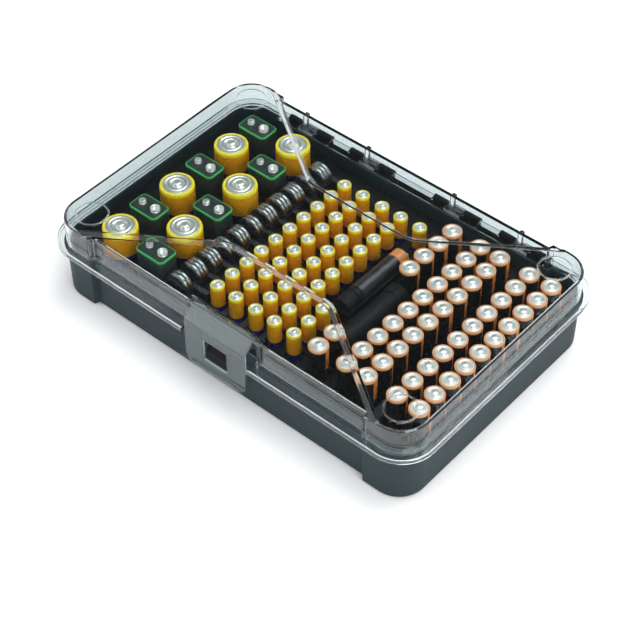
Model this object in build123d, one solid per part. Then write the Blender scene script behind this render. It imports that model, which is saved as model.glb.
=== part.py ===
from build123d import *
import math
import os

# Hinged, clear-lidded storage case for household batteries, with its cells and a small
# tester aboard.  Millimetres.  +X runs along the front, +Y goes to the hinge side, +Z is up.
# The origin is the middle of the underside.

# ---- standard cells -----------------------------------------------------------------------
aa_d, aa_len, aa_nub_d, aa_nub_h = 14.5, 50.5, 5.5, 1.2
aaa_d, aaa_len, aaa_nub_d, aaa_nub_h = 10.5, 44.5, 3.8, 1.0
c_d, c_len, c_nub_d, c_nub_h = 26.2, 50.0, 7.0, 1.6
nine_x, nine_y, nine_body_h = 26.5, 17.5, 46.4
nine_corner = 2.4
snap_pitch = 12.7
snap_small_d, snap_large_d, snap_h = 5.6, 8.0, 2.6
coin_d, coin_t = 20.0, 3.2

# ---- tray ---------------------------------------------------------------------------------
cell_floor_z = 13.0
pocket_depth = 22.0
tray_skin = 1.6
tray_gap = 0.3              # tray passes the mouth of the base with this to spare
pocket_gap = 0.3
pocket_wall = 1.2
ridge_h = 1.4               # raised strips between the columns of small cells
ridge_gap = 0.9             # strip to the pockets beside it
ridge_end = 6.0             # strip runs past the first and last cell

# ---- coin-cell rack -----------------------------------------------------------------------
coin_slots = 11
coin_fill = (2, 3, 3, 2, 3, 2, 3, 3, 3, 2, 3)
coin_gap = 0.1              # between the cells of one stack
coin_play = 1.0             # spare room beside a full stack
coin_sides = 12             # a multiple of four, so that a flat is at the bottom
rack_rib_h = 8.0
rack_floor_t = 1.2
rack_rib_w = 4.4
rack_left_gap = 1.0         # end wall behind the coins
rack_left_t = 1.2
rack_free = 10.2            # open finger end of each slot
rack_bead_h, rack_bead_w = 1.0, 0.8

# ---- tester -------------------------------------------------------------------------------
cradle_h = 12.0
cradle_w = 17.6
cradle_end_t = 3.0
cradle_gap = 0.3
cradle_front_gap = 6.9      # behind the small cells in front of it
contact_t = 0.8
contact_w = 9.0
contact_up = 4.0
cap_len = 17.0
cap_groove = 0.8
cap_gap = 0.15
housing_r = 9.6
housing_up = 7.5            # barrel axis over the tray
housing_end_gap = 2.8       # to the cells in front of it and behind it
collar_len = 10.0
collar_out = 0.5

# ---- layout: gap before each column of the tray, edge to edge, left wall to right wall -----
left_margin = 27.0
big_side_gap = 9.2          # between the two columns of large cells
rack_side_gap = 0.85
rack_aaa_gap = 2.75
aaa_gap_1, aaa_gap_2, aaa_gap_3, aaa_gap_4 = 7.0, 7.8, 6.8, 7.1
cradle_shift = 3.6          # cradle middle to the right of the short column in line with it
housing_gap = 1.2
aa_gap_1, aa_gap_2, aa_gap_3, aa_gap_4 = 7.35, 2.9, 11.0, 4.05
right_margin = 8.25

# ---- layout: gap between cells of one column, and the middle of each column in Y -----------
aa_rows, aa_row_gap, aa_mid_y = 10, 1.81, 0.0
aaa_rows, aaa_row_gap, aaa_mid_y = 10, 4.79, -2.7
big_rows, big_row_gap, big_mid_y = 6, 3.2, -2.8
rack_mid_y = -5.5
aa_short_rows = (0, 1, 6, 7, 8, 9)
aaa_short_rows = (0, 1, 2, 9)
depth_margin = 15.7         # longest column to the front of the case

# ---- walls of the case --------------------------------------------------------------------
case_corner_r = 22.0
post_w = 36.95              # corner posts: the front and back walls stand back between them
bay_depth = 4.0
bay_run = 1.5               # slope of the step between post and bay
draft = 0.8                 # how far a wall leans in over its height
base_h = 44.0
base_wall = 2.4
base_floor = 2.4
base_edge = 1.6
rim_out = 1.5               # ledge round the top of the base
rim_h = 3.0
tongue_h = 2.4              # low upstand that locates the lid
tongue_w = 1.2
tongue_gap = 0.5
tongue_band_h = 4.0         # the wall is thicker under the upstand

# ---- lid ----------------------------------------------------------------------------------
seam_gap = 0.3
lid_headroom = 0.8          # tallest content to the underside of the sunken fields
lid_wall = 2.0
lid_top_t = 1.8
lid_edge = 1.2
lens_drop = 2.4             # sunken fields in front of and behind the waisted middle panel
lens_slope = 2.2            # width of the sloping edge of a field
lens_flat_half = 45.0
lens_flat_y = 45.0
lens_past_bay = 1.7
lens_corner_r = 22.0
flange_over_x = 6.25        # overhang of the lid flange past the wall
flange_over_y = 6.1
flange_corner_r = 28.0
flange_t = 1.8
flange_up = 3.0             # top of the flange over the base
flange_behind = 1.1         # flange past the hinge axis
lip_t = 1.8
lip_drop = 1.8              # turned-down edge of the flange, front and sides
ring_r = 12.3               # stacking rings near the corners
ring_w = 1.0
ring_h = 0.4
ring_sides = 24
ring_in_x, ring_in_y = 21.25, 20.9

# ---- hinges -------------------------------------------------------------------------------
hinge_inner_x = 40.3
hinge_outer_in = 25.3       # outer hinges inside the bay ends
hinge_len = 42.0
hinge_knuckle_len = 14.0
hinge_side_gap = 0.4
hinge_barrel_r = 2.6
hinge_pin_r = 1.2
barrel_sides = 12
run_fit = 0.05              # radial running clearance
hinge_up = 2.2              # axis over the base
hinge_plate_drop = 3.4      # bracket plate top under the hinge axis
hinge_plate_t = 4.0
hinge_rib_w = 3.4           # upright rib on the lid wall over each knuckle
hinge_rib_out = 2.6
knuckle_web_t = 2.4         # web from the lid wall to the knuckle

# ---- latch --------------------------------------------------------------------------------
latch_w = 56.0
latch_t = 2.2
latch_side_gap = 2.3
latch_reach = 25.5          # tip under the top of the base
latch_elbow_down = 11.3     # elbow under the top of the lid
latch_out = 9.0             # latch face in front of the bay wall
latch_corner_r = 8.0
latch_pin_r = 1.0
latch_pin_down = 4.7        # pin under the top of the lid
latch_pin_back = 1.3        # pin behind the bay wall face
latch_barrel_r = 2.3
latch_notch_gap = 0.7
latch_cheek_t = 3.0
window_w = 22.0
window_h = 20.0
window_below = 16.0         # foot of the window under the top of the base
grip_w = 45.0
grip_h = 3.0
grip_out = 1.1
catch_gap = 0.3
catch_inset = 0.8
catch_ramp, catch_ramp_h = 3.0, 5.0


# ---- sizes that follow --------------------------------------------------------------------
tray_top_z = cell_floor_z + pocket_depth
slot_floor_z = tray_top_z + rack_floor_t
cell_z = tray_top_z + cradle_h                       # axis of the lying test cell
housing_z = tray_top_z + housing_up
tallest_z = max(cell_floor_z + aa_len, cell_floor_z + aaa_len, cell_floor_z + c_len,
                cell_floor_z + nine_body_h + snap_h, slot_floor_z + coin_d,
                cell_z + aa_d / 2 + cradle_gap, housing_z + housing_r + collar_out)
lid_top_z = max(tallest_z, base_h) + lid_headroom + lid_top_t + lens_drop
hinge_axis_z = base_h + hinge_up
flange_top_z = base_h + flange_up
latch_pin_z = lid_top_z - latch_pin_down
latch_elbow_z = lid_top_z - latch_elbow_down
latch_bottom_z = base_h - latch_reach
window_bottom_z = base_h - window_below

aa_pitch = aa_d + aa_row_gap
aaa_pitch = aaa_d + aaa_row_gap
big_pitch = max(c_d, nine_y) + big_row_gap
coin_pitch = max(coin_fill) * coin_t + rack_rib_w + coin_play
aa_first_y = aa_mid_y - aa_pitch * (aa_rows - 1) / 2
aaa_first_y = aaa_mid_y - aaa_pitch * (aaa_rows - 1) / 2
big_first_y = big_mid_y - big_pitch * (big_rows - 1) / 2
coin_first_y = rack_mid_y - coin_pitch * (coin_slots - 1) / 2

big_w = max(c_d, nine_x)
rack_w = rack_left_t + rack_left_gap + coin_d + rack_free
collar_r = housing_r + collar_out
spread, middles = 0.0, []
for gap, width in ((left_margin, big_w), (big_side_gap, big_w), (rack_side_gap, rack_w),
                   (rack_aaa_gap, aaa_d), (aaa_gap_1, aaa_d), (aaa_gap_2, aaa_d),
                   (aaa_gap_3, aaa_d), (aaa_gap_4, aaa_d),
                   (cradle_shift + (cradle_w - aaa_d) / 2 + housing_gap, 2 * collar_r),
                   (aa_gap_1, aa_d), (aa_gap_2, aa_d), (aa_gap_3, aa_d), (aa_gap_4, aa_d)):
    middles.append(spread + gap + width / 2)
    spread += gap + width
case_half_x = (spread + right_margin) / 2            # side wall to middle, at the seam
middles = [x - case_half_x for x in middles]
big_columns = middles[0:2]
rack_left = middles[2] - rack_w / 2
aaa_columns, aaa_short_x = middles[3:7], middles[7]
tester_x = aaa_short_x + cradle_shift
housing_x = aa_short_x = middles[8]
aa_columns = middles[12:8:-1]

half_runs = (abs(aa_mid_y) + (aa_pitch * (aa_rows - 1) + aa_d) / 2,
             abs(aaa_mid_y) + (aaa_pitch * (aaa_rows - 1) + aaa_d) / 2,
             abs(big_mid_y) + (big_pitch * (big_rows - 1) + max(c_d, nine_y)) / 2,
             abs(rack_mid_y) + (coin_pitch * coin_slots + rack_rib_w) / 2)
case_half_y = max(half_runs) + depth_margin          # corner posts to middle, at the seam
bay_half = case_half_x - post_w
bay_y = case_half_y - bay_depth                      # face of the front and back bay walls
flange_half_x = case_half_x + flange_over_x
flange_half_y = case_half_y + flange_over_y
hinge_axis_y = flange_half_y - hinge_barrel_r
hinge_xs = (hinge_outer_in - bay_half, -hinge_inner_x, hinge_inner_x, bay_half - hinge_outer_in)
lid_low_z = base_h + seam_gap
lid_lean = draft * (lid_top_z - lid_low_z) / base_h
lens_edge_half = bay_half + lens_past_bay
ring_x, ring_y = case_half_x - ring_in_x, case_half_y - ring_in_y


# ---- shared shapes ------------------------------------------------------------------------
def plan(inset, bays=True):
    """Outline of the case seen from above, drawn in by inset; a negative inset grows it."""
    hx, hy = case_half_x - inset, case_half_y - inset
    face = RectangleRounded(2 * hx, 2 * hy, case_corner_r - inset)
    if bays:
        edge, floor_half = bay_half + inset, bay_half + inset - bay_run
        depth_y = case_half_y - bay_depth - inset
        for side in (-1, 1):
            face -= Polygon((-edge, side * (hy + 1)), (-edge, side * hy),
                            (-floor_half, side * depth_y), (floor_half, side * depth_y),
                            (edge, side * hy), (edge, side * (hy + 1)), align=None)
    return face


def drafted(inset_low, z_low, inset_high, z_high):
    """Solid between two outlines of the case at two heights."""
    return loft([Pos(0, 0, z_low) * plan(inset_low), Pos(0, 0, z_high) * plan(inset_high)],
                ruled=True)


def block(x0, x1, y0, y1, z0, z1):
    """Upright box between two corners."""
    return Pos((x0 + x1) / 2, (y0 + y1) / 2, (z0 + z1) / 2) * Box(x1 - x0, y1 - y0, z1 - z0)


def rod_x(x0, x1, y, z, r):
    """Round bar along X."""
    return Pos((x0 + x1) / 2, y, z) * Rot(0, 90, 0) * Cylinder(r, x1 - x0)


def bar_x(x0, x1, y, z, r, sides):
    """Many-sided bar along X, corners at radius r."""
    face = Pos(x0, y, z) * Rot(0, 90, 0) * Rot(0, 0, 180 / sides) * RegularPolygon(r, sides)
    return extrude(face, x1 - x0, dir=(1, 0, 0))


def rod_y(y0, y1, x, z, r):
    """Round bar along Y."""
    return Pos(x, (y0 + y1) / 2, z) * Rot(90, 0, 0) * Cylinder(r, y1 - y0)


def prism(x, y, z0, d, h, sides):
    """Upright many-sided bar inside diameter d, one flat towards +X."""
    face = Pos(x, y, z0) * Rot(0, 0, 180 / sides) * RegularPolygon(d / 2, sides)
    return extrude(face, h)


def save(name, *solids):
    """Write one named piece."""
    parts = [s for shape in solids for s in shape.solids()]
    piece = parts[0] if len(parts) == 1 else Compound(children=parts)
    export_step(piece, os.path.join("parts", name + ".step"))


os.makedirs("parts", exist_ok=True)

# ---- base tub -----------------------------------------------------------------------------
tub = drafted(draft, 0, 0, base_h)
tub = chamfer(tub.faces().sort_by(Axis.Z)[0].edges(), base_edge)
ledge = extrude(Pos(0, 0, base_h - rim_h) * plan(-rim_out), rim_h)
tub += ledge
tongue_out = lid_wall + tongue_gap
tub += extrude(Pos(0, 0, base_h) * plan(tongue_out), tongue_h)
mouth = tongue_out + tongue_w
band_z = base_h - tongue_band_h
tub -= drafted(draft + base_wall, base_floor, base_wall + draft * tongue_band_h / base_h, band_z)
tub -= extrude(Pos(0, 0, band_z) * plan(mouth), tongue_band_h + tongue_h + 1)
# The lid stands back behind the latch: no tongue there, and an inner ledge to meet it.
notch_half = latch_w / 2 + latch_side_gap
pin_y = -bay_y + latch_pin_back
notch_y = pin_y + latch_barrel_r + latch_notch_gap
notch_in_y = notch_y + lid_wall
cheek_half = notch_half + latch_cheek_t
tub -= block(-cheek_half - tongue_gap, cheek_half + tongue_gap, -case_half_y, notch_in_y + 2,
             base_h, base_h + tongue_h + 1)
tub += block(-cheek_half, cheek_half, -bay_y + base_wall / 2, notch_in_y, base_h - rim_h, base_h)
save("base_tub", tub)

# ---- catch under the latch window ---------------------------------------------------------
latch_face_y = -bay_y - latch_out
latch_back_y = latch_face_y + latch_t
window_top_z = window_bottom_z + window_h
catch_half = window_w / 2 - catch_inset
catch_low_z = window_bottom_z + catch_inset
catch_top_z = base_h - rim_h
catch_face_y = latch_back_y + catch_gap
wall_lean = draft * (base_h - catch_low_z) / base_h
catch_side = make_face(Plane.YZ * Polyline(
    (-bay_y + wall_lean + base_wall / 2, catch_low_z), (catch_face_y, catch_low_z),
    (catch_face_y, catch_top_z - catch_ramp_h), (catch_face_y + catch_ramp, catch_top_z),
    (-bay_y + wall_lean + base_wall / 2, catch_top_z), close=True))
catch = extrude(catch_side, catch_half, both=True) - drafted(draft, 0, 0, base_h)
save("latch_catch", catch)

# ---- hinge brackets and pins --------------------------------------------------------------
plate_top_z = hinge_axis_z - hinge_plate_drop
barrel_reach = (hinge_len - hinge_knuckle_len) / 2 - hinge_side_gap
wall_solid = drafted(draft, 0, 0, base_h) + ledge
brackets, pins = [], []
for hx in hinge_xs:
    left, right = hx - hinge_len / 2, hx + hinge_len / 2
    bracket = block(left, right, bay_y - draft, hinge_axis_y + hinge_barrel_r / 2,
                    plate_top_z - hinge_plate_t, plate_top_z)
    for x0, x1 in ((left, left + barrel_reach), (right - barrel_reach, right)):
        bracket += bar_x(x0, x1, hinge_axis_y, hinge_axis_z, hinge_barrel_r, barrel_sides)
        bracket += block(x0, x1, hinge_axis_y - hinge_barrel_r, hinge_axis_y + hinge_barrel_r / 2,
                         plate_top_z - 1, hinge_axis_z)
    pin = bar_x(left, right, hinge_axis_y, hinge_axis_z, hinge_pin_r, barrel_sides)
    brackets.append(bracket - pin - wall_solid)
    pins.append(pin)
save("hinge_brackets", *brackets)
save("hinge_pins", *pins)


# ---- lid ----------------------------------------------------------------------------------
def lens(side, grow):
    """Plan of a sunken field: wide at the outer edge, narrow at a flat end near the middle."""
    flat_y, edge_y = lens_flat_y - grow, case_half_y + 4
    slope = (lens_edge_half - lens_flat_half) / (bay_y - lens_flat_y)
    flat_half = lens_flat_half + grow * 0.6
    edge_half = flat_half + slope * (edge_y - flat_y)
    field = Polygon((-edge_half, side * edge_y), (-flat_half, side * flat_y),
                    (flat_half, side * flat_y), (edge_half, side * edge_y), align=None)
    ends = field.vertices().sort_by(lambda v: abs(v.Y))[:2]
    return fillet(ends, lens_corner_r)


def sunken(side, grow, floor_z):
    """Space over a sunken field: sloping edges up to the panel, then open above it."""
    top_z = floor_z + lens_drop
    slope = loft([Pos(0, 0, floor_z) * lens(side, grow),
                  Pos(0, 0, top_z) * lens(side, grow + lens_slope)], ruled=True)
    return slope + extrude(Pos(0, 0, top_z) * lens(side, grow + lens_slope), lid_edge,
                           dir=(0, 0, 1))


lid_out = drafted(0, lid_low_z, lid_lean, lid_top_z)
lid_out = chamfer(lid_out.faces().sort_by(Axis.Z)[-1].edges(), lid_edge)
lid_in = drafted(lid_wall, lid_low_z - 1, lid_lean + lid_wall, lid_top_z - lid_top_t)
for side in (-1, 1):
    lid_out -= sunken(side, 0, lid_top_z - lens_drop)
    lid_in -= sunken(side, lid_top_t, lid_top_z - lens_drop - lid_top_t)
flange = extrude(Pos(0, 0, flange_top_z - flange_t)
                 * RectangleRounded(2 * flange_half_x, 2 * flange_half_y, flange_corner_r),
                 flange_t)
lip = extrude(Pos(0, 0, flange_top_z - flange_t - lip_drop)
              * RectangleRounded(2 * flange_half_x, 2 * flange_half_y, flange_corner_r),
              lip_drop + 0.5)
lip -= extrude(Pos(0, 0, flange_top_z - flange_t - lip_drop - 1)
               * RectangleRounded(2 * (flange_half_x - lip_t), 2 * (flange_half_y - lip_t),
                                  flange_corner_r - lip_t), lip_drop + 2)
lip_end_y = flange_half_y - flange_corner_r
lip -= block(-flange_half_x - 1, flange_half_x + 1, lip_end_y, flange_half_y + 1, 0, lid_top_z)
flange_back_y = hinge_axis_y + flange_behind
flange -= block(-flange_half_x - 1, flange_half_x + 1, flange_back_y, flange_half_y + 1,
                0, lid_top_z)
brim = flange + lip
for hx in hinge_xs:
    brim -= block(hx - hinge_len / 2 - hinge_side_gap, hx + hinge_len / 2 + hinge_side_gap,
                  bay_y, flange_half_y + 1, 0, lid_top_z)
brim -= block(-notch_half, notch_half, -flange_half_y - 1, notch_y, 0, lid_top_z)
lid = lid_out + brim
for hx in hinge_xs:
    x0, x1 = hx - hinge_knuckle_len / 2, hx + hinge_knuckle_len / 2
    lid += bar_x(x0, x1, hinge_axis_y, hinge_axis_z, hinge_barrel_r, barrel_sides)
    knuckle_top_z = hinge_axis_z + hinge_barrel_r * math.cos(math.pi / barrel_sides)
    lid += block(x0, x1, bay_y - lid_wall, hinge_axis_y, knuckle_top_z - knuckle_web_t,
                 knuckle_top_z)
    rib_top_z = lid_top_z - lens_drop - lid_edge
    lid += block(hx - hinge_rib_w / 2, hx + hinge_rib_w / 2, bay_y - lid_wall,
                 bay_y + hinge_rib_out, hinge_axis_z + hinge_barrel_r - 1, rib_top_z)
    lid -= rod_x(x0 - 1, x1 + 1, hinge_axis_y, hinge_axis_z, hinge_pin_r + run_fit)
lid_in -= block(-cheek_half, cheek_half, -case_half_y, notch_in_y, 0, lid_top_z)
lid -= lid_in
lid -= block(-notch_half, notch_half, -flange_half_y - 1, notch_y, 0, lid_top_z + 1)
lid -= rod_x(-cheek_half - 1, cheek_half + 1, pin_y, latch_pin_z, latch_pin_r)
for sx in (-1, 1):
    for sy in (-1, 1):
        ring = RegularPolygon(ring_r, ring_sides) - RegularPolygon(ring_r - ring_w, ring_sides)
        lid += extrude(Pos(sx * ring_x, sy * ring_y, lid_top_z - 0.5) * ring, ring_h + 0.5)
save("lid_shell", lid)

# ---- latch --------------------------------------------------------------------------------
save("latch_pin", rod_x(-cheek_half, cheek_half, pin_y, latch_pin_z, latch_pin_r))
slope_in = latch_t * 0.45
latch_side = make_face(Plane.YZ * Polyline(
    (pin_y - latch_barrel_r * 0.6, latch_pin_z + latch_barrel_r * 0.8),
    (latch_face_y, latch_elbow_z), (latch_face_y, latch_bottom_z),
    (latch_back_y, latch_bottom_z), (latch_back_y, latch_elbow_z - slope_in),
    (pin_y - latch_barrel_r * 0.2, latch_pin_z), close=True))
latch = extrude(latch_side, latch_w / 2, both=True)
low_edges = latch.edges().filter_by(Axis.Y).filter_by(
    lambda e: abs(e.center().Z - latch_bottom_z) < 0.01)
latch = fillet(low_edges, latch_corner_r)
latch += rod_x(-latch_w / 2, latch_w / 2, pin_y, latch_pin_z, latch_barrel_r)
latch -= rod_x(-latch_w, latch_w, pin_y, latch_pin_z, latch_pin_r + run_fit)
latch -= block(-window_w / 2, window_w / 2, latch_face_y - 1, latch_back_y + 1,
               window_bottom_z, window_top_z)
latch += block(-grip_w / 2, grip_w / 2, latch_face_y - grip_out, latch_face_y + 0.5,
               latch_bottom_z, latch_bottom_z + grip_h)
for side in (-1, 1):
    rib_x = side * window_w / 2
    latch += block(rib_x - 0.8, rib_x + 0.8, latch_back_y - 0.5, latch_back_y + 1.2,
                   window_top_z, latch_elbow_z - 2)
save("latch_clip", latch)

# ---- cell positions -----------------------------------------------------------------------
def column(x, first_y, pitch, rows):
    """Centres of one column of cells."""
    return [(x, first_y + pitch * k) for k in rows]


aa_sets = [column(x, aa_first_y, aa_pitch, range(aa_rows)) for x in aa_columns]
aa_sets.append(column(aa_short_x, aa_first_y, aa_pitch, aa_short_rows))
aaa_sets = [column(x, aaa_first_y, aaa_pitch, range(aaa_rows)) for x in aaa_columns]
aaa_sets.append(column(aaa_short_x, aaa_first_y, aaa_pitch, aaa_short_rows))
c_spots, nine_spots = [], []
for i, x in enumerate(big_columns):
    for k in range(big_rows):
        spot = (x, big_first_y + big_pitch * k)
        (c_spots if (i + k) % 2 == 0 else nine_spots).append(spot)

# ---- tray ---------------------------------------------------------------------------------
tray_high = mouth + tray_gap
tray_low = tray_high + draft
tray = drafted(tray_low, base_floor, tray_high, tray_top_z)
tray -= drafted(tray_low + tray_skin, base_floor - 1, tray_high + tray_skin,
                tray_top_z - tray_skin)
pocket_low_z = cell_floor_z - pocket_wall
holes, sleeves = [], []


def pocket_row(spots, size_x, size_y, pitch):
    """Square-cornered pockets for a column of cells, with one sleeve round each unbroken run."""
    hx, hy = size_x / 2 + pocket_gap, size_y / 2 + pocket_gap
    runs = []
    for x, y in spots:
        holes.append(block(x - hx, x + hx, y - hy, y + hy, cell_floor_z, tray_top_z + 1))
        if runs and y - runs[-1][-1] < 1.5 * pitch:
            runs[-1].append(y)
        else:
            runs.append([y])
    x = spots[0][0]
    for run in runs:
        sleeves.append(block(x - hx - pocket_wall, x + hx + pocket_wall,
                             run[0] - hy - pocket_wall, run[-1] + hy + pocket_wall,
                             pocket_low_z, tray_top_z - tray_skin / 2))


for spots in aa_sets:
    pocket_row(spots, aa_d, aa_d, aa_pitch)
for spots in aaa_sets:
    pocket_row(spots, aaa_d, aaa_d, aaa_pitch)
for x in big_columns:
    pocket_row([spot for spot in c_spots if spot[0] == x], c_d, c_d, big_pitch)
    pocket_row([spot for spot in nine_spots if spot[0] == x], nine_x, nine_y, big_pitch)
tray += sleeves
tray -= holes
aaa_line = sorted(aaa_columns)
aa_line = sorted(aa_columns)
ridges = []
for line, pitch, first_y, rows, d in ((aaa_line, aaa_pitch, aaa_first_y, aaa_rows, aaa_d),
                                      (aa_line, aa_pitch, aa_first_y, aa_rows, aa_d)):
    for x0, x1 in zip(line, line[1:]):
        left, right = (x0 + d / 2 + pocket_gap + ridge_gap, x1 - d / 2 - pocket_gap - ridge_gap)
        if right - left > ridge_h:
            ridges.append(block(left, right, first_y - ridge_end,
                                first_y + pitch * (rows - 1) + ridge_end,
                                tray_top_z - tray_skin / 2, tray_top_z + ridge_h))
tray += ridges
save("cell_tray", tray)


# ---- cells --------------------------------------------------------------------------------
def upright(spots, d, length, nub_d, nub_h, sides, nub_sides):
    """Jackets and raised positive ends of a set of round cells."""
    jackets = [prism(x, y, cell_floor_z, d, length - nub_h, sides) for x, y in spots]
    nubs = [prism(x, y, cell_floor_z + length - nub_h, nub_d, nub_h, nub_sides)
            for x, y in spots]
    return jackets, nubs


for number, spots in enumerate(aa_sets, start=1):
    jackets, nubs = upright(spots, aa_d, aa_len, aa_nub_d, aa_nub_h, 10, 6)
    save(f"aa_cells_{number}", *jackets)
    save(f"aa_terminals_{number}", *nubs)
for number, spots in enumerate(aaa_sets, start=1):
    jackets, nubs = upright(spots, aaa_d, aaa_len, aaa_nub_d, aaa_nub_h, 8, 6)
    save(f"aaa_cells_{number}", *jackets)
    save(f"aaa_terminals_{number}", *nubs)
jackets, nubs = upright(c_spots, c_d, c_len, c_nub_d, c_nub_h, 16, 8)
save("c_cells", *jackets)
save("c_terminals", *nubs)

nine_top_z = cell_floor_z + nine_body_h
bodies, small_snaps, large_snaps = [], [], []
for x, y in nine_spots:
    case = block(x - nine_x / 2, x + nine_x / 2, y - nine_y / 2, y + nine_y / 2,
                 cell_floor_z, nine_top_z)
    bodies.append(chamfer(case.edges().filter_by(Axis.Z), nine_corner / 2))
    small_snaps.append(prism(x - snap_pitch / 2, y, nine_top_z, snap_small_d, snap_h, 6))
    large_snaps.append(prism(x + snap_pitch / 2, y, nine_top_z, snap_large_d, snap_h, 6))
save("nine_volt_cells", *bodies)
save("nine_volt_round_snaps", *small_snaps)
save("nine_volt_socket_snaps", *large_snaps)

# ---- coin-cell rack and its cells ---------------------------------------------------------
coin_x = rack_left + rack_left_t + rack_left_gap + coin_d / 2
rack_right = rack_left + rack_w
rack_front = coin_first_y - coin_pitch / 2 - rack_rib_w / 2
rack_back = coin_first_y + coin_pitch * (coin_slots - 0.5) + rack_rib_w / 2
rack_top_z = tray_top_z + rack_rib_h
rack = block(rack_left, rack_right, rack_front, rack_back, tray_top_z, rack_top_z)
slots = [block(rack_left + rack_left_t, rack_right + 1,
               coin_first_y + coin_pitch * k - (coin_pitch - rack_rib_w) / 2,
               coin_first_y + coin_pitch * k + (coin_pitch - rack_rib_w) / 2,
               slot_floor_z, rack_top_z + 1) for k in range(coin_slots)]
rack -= slots
coin_end = coin_x + coin_d / 2
rack += [block(coin_end, rack_right, coin_first_y + coin_pitch * k - rack_bead_w / 2,
               coin_first_y + coin_pitch * k + rack_bead_w / 2, slot_floor_z - 0.2,
               slot_floor_z + rack_bead_h) for k in range(coin_slots)]
save("coin_rack", rack)

coins = []
for k in range(coin_slots):
    slot_y = coin_first_y + coin_pitch * k
    front = slot_y - coin_fill[k] * coin_t / 2
    for n in range(coin_fill[k]):
        face = Rot(0, 0, 180 / coin_sides) * RegularPolygon(coin_d / 2, coin_sides)
        disc = Rot(90, 0, 0) * extrude(face, coin_t - coin_gap)
        drop = coin_d / 2 * math.cos(math.pi / coin_sides)
        coins.append(Pos(coin_x, front + coin_t * (n + 1) - coin_gap / 2, slot_floor_z + drop)
                     * disc)
save("coin_cells", *coins)

# ---- tester: cradle with a lying cell, and the rounded housing beside it ------------------
ahead = [k for k in aaa_short_rows if k < aaa_rows / 2]
cradle_front_y = aaa_first_y + aaa_pitch * ahead[-1] + aaa_d / 2 + cradle_front_gap
cell_front_y = cradle_front_y + cradle_end_t + cap_len + contact_t
tester_cell_back_y = cell_front_y + aa_len
cradle_back_y = tester_cell_back_y + contact_t + cradle_end_t
cradle = block(tester_x - cradle_w / 2, tester_x + cradle_w / 2, cradle_front_y, cradle_back_y,
               tray_top_z, cell_z)
cradle -= rod_y(cradle_front_y + cradle_end_t, cradle_back_y - cradle_end_t, tester_x, cell_z,
                aa_d / 2 + cradle_gap)
save("tester_cradle", cradle)

cap_back_y = cell_front_y - contact_t
cap_front_y = cap_back_y - cap_len
cap = rod_y(cap_front_y, cap_back_y, tester_x, cell_z, aa_d / 2 + cradle_gap - cap_gap)
groove_y = cap_back_y - cap_len * 0.3
cap -= (rod_y(groove_y - cap_groove / 2, groove_y + cap_groove / 2, tester_x, cell_z, aa_d)
        - rod_y(groove_y - 1, groove_y + 1, tester_x, cell_z, aa_d / 2 - cap_groove / 2)
        - block(tester_x - aa_d, tester_x + aa_d, groove_y - cap_groove, groove_y + cap_groove,
                0, cell_z))
save("tester_cap", cap)

contact_half = contact_w / 2
contacts = [block(tester_x - contact_half, tester_x + contact_half, y, y + contact_t,
                  cell_z - contact_up, cell_z + contact_up)
            for y in (cap_back_y, tester_cell_back_y)]
save("tester_contacts", *contacts)

save("test_cell_jacket", rod_y(cell_front_y, tester_cell_back_y - aa_nub_h, tester_x, cell_z,
                               aa_d / 2))
save("test_cell_terminal", rod_y(tester_cell_back_y - aa_nub_h, tester_cell_back_y, tester_x,
                                 cell_z, aa_nub_d / 2))

ahead = [k for k in aa_short_rows if k < aa_rows / 2]
behind = [k for k in aa_short_rows if k > aa_rows / 2]
housing_front_y = aa_first_y + aa_pitch * ahead[-1] + aa_d / 2 + housing_end_gap
housing_back_y = aa_first_y + aa_pitch * behind[0] - aa_d / 2 - housing_end_gap
housing = rod_y(housing_front_y, housing_back_y - collar_len, housing_x, housing_z, housing_r)
housing += block(housing_x - housing_r, housing_x + housing_r, housing_front_y,
                 housing_back_y - collar_len, tray_top_z, housing_z)
below = block(housing_x - 2 * housing_r, housing_x + 2 * housing_r, housing_front_y - 1,
              housing_back_y + 1, 0, tray_top_z)
save("tester_housing", housing - below)
collar = rod_y(housing_back_y - collar_len, housing_back_y, housing_x, housing_z, collar_r)
collar += block(housing_x - collar_r, housing_x + collar_r, housing_back_y - collar_len,
                housing_back_y, tray_top_z, housing_z)
save("tester_collar", collar - below)
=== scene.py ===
"""Render model of a hinged, clear-lidded storage case for household batteries.

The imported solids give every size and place.  They are dressed here: moulded ABS for the tub and
tray, smoke-tinted polycarbonate for the lid and latch, printed film and nickel for the cells.
"""

import logging
import math
from dataclasses import dataclass, field
from enum import Enum

import bmesh
import bpy
from mathutils import Matrix, Vector


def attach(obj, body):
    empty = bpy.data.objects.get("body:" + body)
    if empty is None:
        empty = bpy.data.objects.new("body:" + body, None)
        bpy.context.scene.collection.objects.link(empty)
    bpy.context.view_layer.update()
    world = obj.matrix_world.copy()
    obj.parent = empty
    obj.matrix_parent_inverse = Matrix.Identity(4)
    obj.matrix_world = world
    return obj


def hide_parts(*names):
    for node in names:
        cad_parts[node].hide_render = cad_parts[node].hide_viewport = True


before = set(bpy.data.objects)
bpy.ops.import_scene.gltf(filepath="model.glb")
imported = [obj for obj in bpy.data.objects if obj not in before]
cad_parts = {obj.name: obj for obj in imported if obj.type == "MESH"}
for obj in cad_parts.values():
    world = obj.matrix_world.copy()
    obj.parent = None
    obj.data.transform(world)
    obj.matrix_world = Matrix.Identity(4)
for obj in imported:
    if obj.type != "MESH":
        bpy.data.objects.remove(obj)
LOG = logging.getLogger("battery_case")
MM = 0.001
MIX_SHARE, MIX_FIRST, MIX_SECOND, MIX_RESULT = 0, 6, 7, 2   # the mix node's colour sockets
SENSOR_MM = 36.0
TIP_MM = 0.05              # turned shapes close on a flat this small round the axis
Rgba = tuple[float, float, float, float]
Point = tuple[float, float]
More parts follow.
